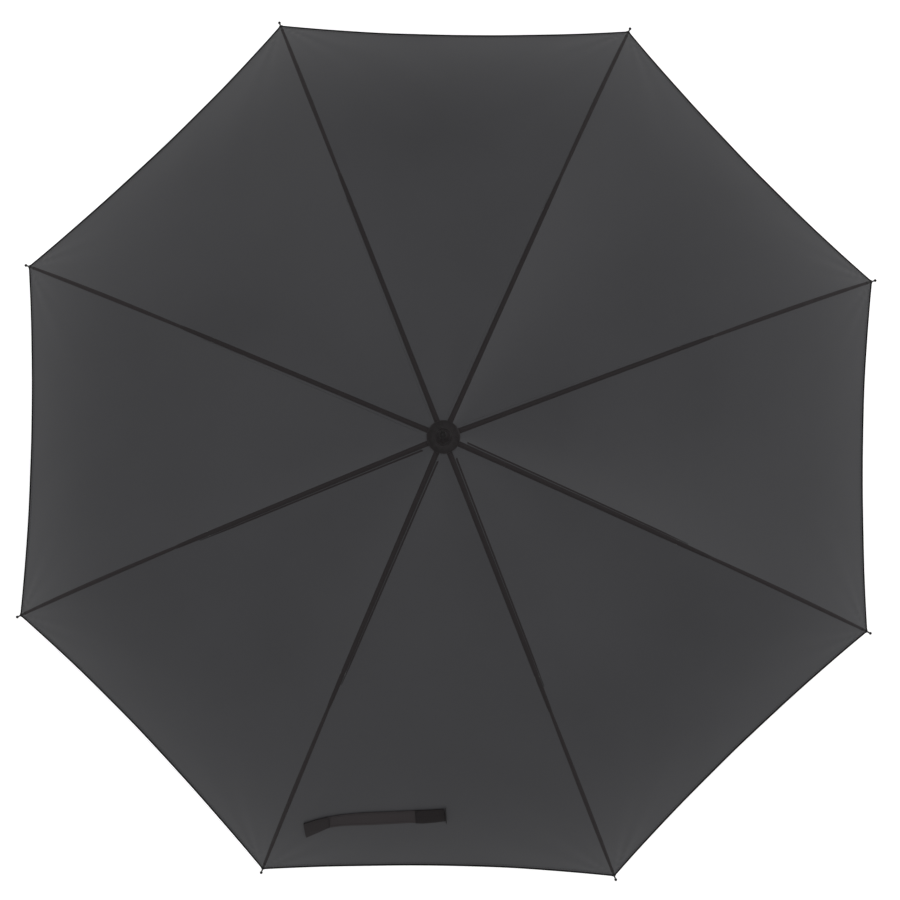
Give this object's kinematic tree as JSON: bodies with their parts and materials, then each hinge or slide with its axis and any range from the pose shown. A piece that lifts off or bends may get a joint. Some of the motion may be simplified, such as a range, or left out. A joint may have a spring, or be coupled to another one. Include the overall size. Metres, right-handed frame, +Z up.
{
  "type": "golf umbrella",
  "caption": "Open stick umbrella with a dark fabric canopy on hinged ribs and stretchers, a sliding runner, sprung catches and a straight foam grip.",
  "frame": {"origin": "centre of the flat end of the handle, on the shaft's axis", "axes": "+Z up along the shaft to the ferrule; -Y through the middle of the panel that carries the tie strap; the ribs are at 22.5 degrees and every 45 degrees from it"},
  "size_m": [1.2214, 1.2214, 1],
  "materials": {
    "canopy_fabric": "satin",
    "strap_fabric": "matte",
    "black_steel": "satin",
    "bright_steel": "satin",
    "fibreglass": "satin",
    "black_plastic": "satin",
    "foam": "matte"
  },
  "bodies": {
    "shaft_and_handle": {"shaft": "black_steel", "crown": "black_plastic", "crown_wire": "bright_steel", "crown_pin": "bright_steel", "runner_stop_pin": "bright_steel", "top_catch_pin": "bright_steel", "bottom_catch_pin": "bright_steel", "top_cap": "black_plastic", "ferrule": "black_plastic", "ferrule_tip": "black_plastic", "grip": "foam", "end_cap": "black_plastic", "grip_collar": "black_plastic"},
    "rib_1": {"rib_1": "black_steel", "canopy_panel_1": "canopy_fabric"},
    "rod_1": {"rib_rod_1": "fibreglass", "rib_tip_1": "black_plastic", "tie_strap": "strap_fabric", "strap_patch": "strap_fabric"},
    "stretcher_1": {"stretcher_1": "black_steel"},
    "rib_2": {"rib_2": "black_steel", "canopy_panel_2": "canopy_fabric"},
    "rod_2": {"rib_rod_2": "fibreglass", "rib_tip_2": "black_plastic"},
    "stretcher_2": {"stretcher_2": "black_steel"},
    "rib_3": {"rib_3": "black_steel", "canopy_panel_3": "canopy_fabric"},
    "rod_3": {"rib_rod_3": "fibreglass", "rib_tip_3": "black_plastic"},
    "stretcher_3": {"stretcher_3": "black_steel"},
    "rib_4": {"rib_4": "black_steel", "canopy_panel_4": "canopy_fabric"},
    "rod_4": {"rib_rod_4": "fibreglass", "rib_tip_4": "black_plastic"},
    "stretcher_4": {"stretcher_4": "black_steel"},
    "rib_5": {"rib_5": "black_steel", "canopy_panel_5": "canopy_fabric"},
    "rod_5": {"rib_rod_5": "fibreglass", "rib_tip_5": "black_plastic"},
    "stretcher_5": {"stretcher_5": "black_steel"},
    "rib_6": {"rib_6": "black_steel", "canopy_panel_6": "canopy_fabric"},
    "rod_6": {"rib_rod_6": "fibreglass", "rib_tip_6": "black_plastic"},
    "stretcher_6": {"stretcher_6": "black_steel"},
    "rib_7": {"rib_7": "black_steel", "canopy_panel_7": "canopy_fabric"},
    "rod_7": {"rib_rod_7": "fibreglass", "rib_tip_7": "black_plastic"},
    "stretcher_7": {"stretcher_7": "black_steel"},
    "rib_8": {"rib_8": "black_steel", "canopy_panel_8": "canopy_fabric"},
    "rod_8": {"rib_rod_8": "fibreglass", "rib_tip_8": "black_plastic"},
    "stretcher_8": {"stretcher_8": "black_steel"},
    "runner": {"runner": "black_plastic", "runner_wire": "bright_steel"},
    "top_catch": {"top_catch": "bright_steel"},
    "bottom_catch": {"bottom_catch": "bright_steel"}
  },
  "joints": [
    {"name": "canopy_fold", "type": "hinge", "parent": "shaft_and_handle", "child": "rib_1", "pos_m": [-0.00421, -0.01016, 0.93], "axis": [0.9239, -0.3827, 0], "range_deg": [0, 69.4], "deforming": ["canopy_panel_1"]},
    {"name": "stretcher_1_fold", "type": "hinge", "parent": "rib_1", "child": "stretcher_1", "pos_m": [-0.13195, -0.31857, 0.82151], "axis": [0.9239, -0.3827, 0], "range_deg": [-138.79, 0]},
    {"name": "rod_1_bend", "type": "hinge", "parent": "rib_1", "child": "rod_1", "pos_m": [-0.15198, -0.36692, 0.79967], "axis": [0.9239, -0.3827, 0], "range_deg": [-15.51, 0], "deforming": ["tie_strap", "strap_patch"]},
    {"name": "runner_on_stretcher_1", "type": "hinge", "parent": "stretcher_1", "child": "runner", "pos_m": [-0.00421, -0.01016, 0.71303], "axis": [0.9239, -0.3827, 0], "range_deg": [0, 69.4]},
    {"name": "rib_2_fold", "type": "hinge", "parent": "shaft_and_handle", "child": "rib_2", "pos_m": [0.00421, -0.01016, 0.93], "axis": [0.9239, 0.3827, 0], "range_deg": [0, 69.4], "deforming": ["canopy_panel_2"]},
    {"name": "stretcher_2_fold", "type": "hinge", "parent": "rib_2", "child": "stretcher_2", "pos_m": [0.13195, -0.31857, 0.82151], "axis": [0.9239, 0.3827, 0], "range_deg": [-138.79, 0]},
    {"name": "rod_2_bend", "type": "hinge", "parent": "rib_2", "child": "rod_2", "pos_m": [0.15198, -0.36692, 0.79967], "axis": [0.9239, 0.3827, 0], "range_deg": [-15.51, 0]},
    {"name": "rib_3_fold", "type": "hinge", "parent": "shaft_and_handle", "child": "rib_3", "pos_m": [0.01016, -0.00421, 0.93], "axis": [0.3827, 0.9239, 0], "range_deg": [0, 69.4], "deforming": ["canopy_panel_3"]},
    {"name": "stretcher_3_fold", "type": "hinge", "parent": "rib_3", "child": "stretcher_3", "pos_m": [0.31857, -0.13195, 0.82151], "axis": [0.3827, 0.9239, 0], "range_deg": [-138.79, 0]},
    {"name": "rod_3_bend", "type": "hinge", "parent": "rib_3", "child": "rod_3", "pos_m": [0.36692, -0.15198, 0.79967], "axis": [0.3827, 0.9239, 0], "range_deg": [-15.51, 0]},
    {"name": "rib_4_fold", "type": "hinge", "parent": "shaft_and_handle", "child": "rib_4", "pos_m": [0.01016, 0.00421, 0.93], "axis": [-0.3827, 0.9239, 0], "range_deg": [0, 69.4], "deforming": ["canopy_panel_4"]},
    {"name": "stretcher_4_fold", "type": "hinge", "parent": "rib_4", "child": "stretcher_4", "pos_m": [0.31857, 0.13195, 0.82151], "axis": [-0.3827, 0.9239, 0], "range_deg": [-138.79, 0]},
    {"name": "rod_4_bend", "type": "hinge", "parent": "rib_4", "child": "rod_4", "pos_m": [0.36692, 0.15198, 0.79967], "axis": [-0.3827, 0.9239, 0], "range_deg": [-15.51, 0]},
    {"name": "rib_5_fold", "type": "hinge", "parent": "shaft_and_handle", "child": "rib_5", "pos_m": [0.00421, 0.01016, 0.93], "axis": [-0.9239, 0.3827, 0], "range_deg": [0, 69.4], "deforming": ["canopy_panel_5"]},
    {"name": "stretcher_5_fold", "type": "hinge", "parent": "rib_5", "child": "stretcher_5", "pos_m": [0.13195, 0.31857, 0.82151], "axis": [-0.9239, 0.3827, 0], "range_deg": [-138.79, 0]},
    {"name": "rod_5_bend", "type": "hinge", "parent": "rib_5", "child": "rod_5", "pos_m": [0.15198, 0.36692, 0.79967], "axis": [-0.9239, 0.3827, 0], "range_deg": [-15.51, 0]},
    {"name": "rib_6_fold", "type": "hinge", "parent": "shaft_and_handle", "child": "rib_6", "pos_m": [-0.00421, 0.01016, 0.93], "axis": [-0.9239, -0.3827, 0], "range_deg": [0, 69.4], "deforming": ["canopy_panel_6"]},
    {"name": "stretcher_6_fold", "type": "hinge", "parent": "rib_6", "child": "stretcher_6", "pos_m": [-0.13195, 0.31857, 0.82151], "axis": [-0.9239, -0.3827, 0], "range_deg": [-138.79, 0]},
    {"name": "rod_6_bend", "type": "hinge", "parent": "rib_6", "child": "rod_6", "pos_m": [-0.15198, 0.36692, 0.79967], "axis": [-0.9239, -0.3827, 0], "range_deg": [-15.51, 0]},
    {"name": "rib_7_fold", "type": "hinge", "parent": "shaft_and_handle", "child": "rib_7", "pos_m": [-0.01016, 0.00421, 0.93], "axis": [-0.3827, -0.9239, 0], "range_deg": [0, 69.4], "deforming": ["canopy_panel_7"]},
    {"name": "stretcher_7_fold", "type": "hinge", "parent": "rib_7", "child": "stretcher_7", "pos_m": [-0.31857, 0.13195, 0.82151], "axis": [-0.3827, -0.9239, 0], "range_deg": [-138.79, 0]},
    {"name": "rod_7_bend", "type": "hinge", "parent": "rib_7", "child": "rod_7", "pos_m": [-0.36692, 0.15198, 0.79967], "axis": [-0.3827, -0.9239, 0], "range_deg": [-15.51, 0]},
    {"name": "rib_8_fold", "type": "hinge", "parent": "shaft_and_handle", "child": "rib_8", "pos_m": [-0.01016, -0.00421, 0.93], "axis": [0.3827, -0.9239, 0], "range_deg": [0, 69.4], "deforming": ["canopy_panel_8"]},
    {"name": "stretcher_8_fold", "type": "hinge", "parent": "rib_8", "child": "stretcher_8", "pos_m": [-0.31857, -0.13195, 0.82151], "axis": [0.3827, -0.9239, 0], "range_deg": [-138.79, 0]},
    {"name": "rod_8_bend", "type": "hinge", "parent": "rib_8", "child": "rod_8", "pos_m": [-0.36692, -0.15198, 0.79967], "axis": [0.3827, -0.9239, 0], "range_deg": [-15.51, 0]},
    {"name": "top_catch_press", "type": "hinge", "parent": "shaft_and_handle", "child": "top_catch", "pos_m": [0, 0, 0.63243], "axis": [-1, 0, 0], "range_deg": [0, 6], "stiffness_Nm_per_rad": 0.05, "springref_deg": -5.73},
    {"name": "bottom_catch_press", "type": "hinge", "parent": "shaft_and_handle", "child": "bottom_catch", "pos_m": [0, 0, 0.184], "axis": [-1, 0, 0], "range_deg": [0, 6], "stiffness_Nm_per_rad": 0.05, "springref_deg": -5.73}
  ],
  "couplings": [
    {"joint": "stretcher_1_fold", "follows": "canopy_fold", "ratio": -2},
    {"joint": "rod_1_bend", "follows": "canopy_fold", "ratio": -0.22336},
    {"joint": "runner_on_stretcher_1", "follows": "canopy_fold", "ratio": 1},
    {"joint": "rib_2_fold", "follows": "canopy_fold", "ratio": 1},
    {"joint": "stretcher_2_fold", "follows": "canopy_fold", "ratio": -2},
    {"joint": "rod_2_bend", "follows": "canopy_fold", "ratio": -0.22336},
    {"joint": "rib_3_fold", "follows": "canopy_fold", "ratio": 1},
    {"joint": "stretcher_3_fold", "follows": "canopy_fold", "ratio": -2},
    {"joint": "rod_3_bend", "follows": "canopy_fold", "ratio": -0.22336},
    {"joint": "rib_4_fold", "follows": "canopy_fold", "ratio": 1},
    {"joint": "stretcher_4_fold", "follows": "canopy_fold", "ratio": -2},
    {"joint": "rod_4_bend", "follows": "canopy_fold", "ratio": -0.22336},
    {"joint": "rib_5_fold", "follows": "canopy_fold", "ratio": 1},
    {"joint": "stretcher_5_fold", "follows": "canopy_fold", "ratio": -2},
    {"joint": "rod_5_bend", "follows": "canopy_fold", "ratio": -0.22336},
    {"joint": "rib_6_fold", "follows": "canopy_fold", "ratio": 1},
    {"joint": "stretcher_6_fold", "follows": "canopy_fold", "ratio": -2},
    {"joint": "rod_6_bend", "follows": "canopy_fold", "ratio": -0.22336},
    {"joint": "rib_7_fold", "follows": "canopy_fold", "ratio": 1},
    {"joint": "stretcher_7_fold", "follows": "canopy_fold", "ratio": -2},
    {"joint": "rod_7_bend", "follows": "canopy_fold", "ratio": -0.22336},
    {"joint": "rib_8_fold", "follows": "canopy_fold", "ratio": 1},
    {"joint": "stretcher_8_fold", "follows": "canopy_fold", "ratio": -2},
    {"joint": "rod_8_bend", "follows": "canopy_fold", "ratio": -0.22336}
  ]
}
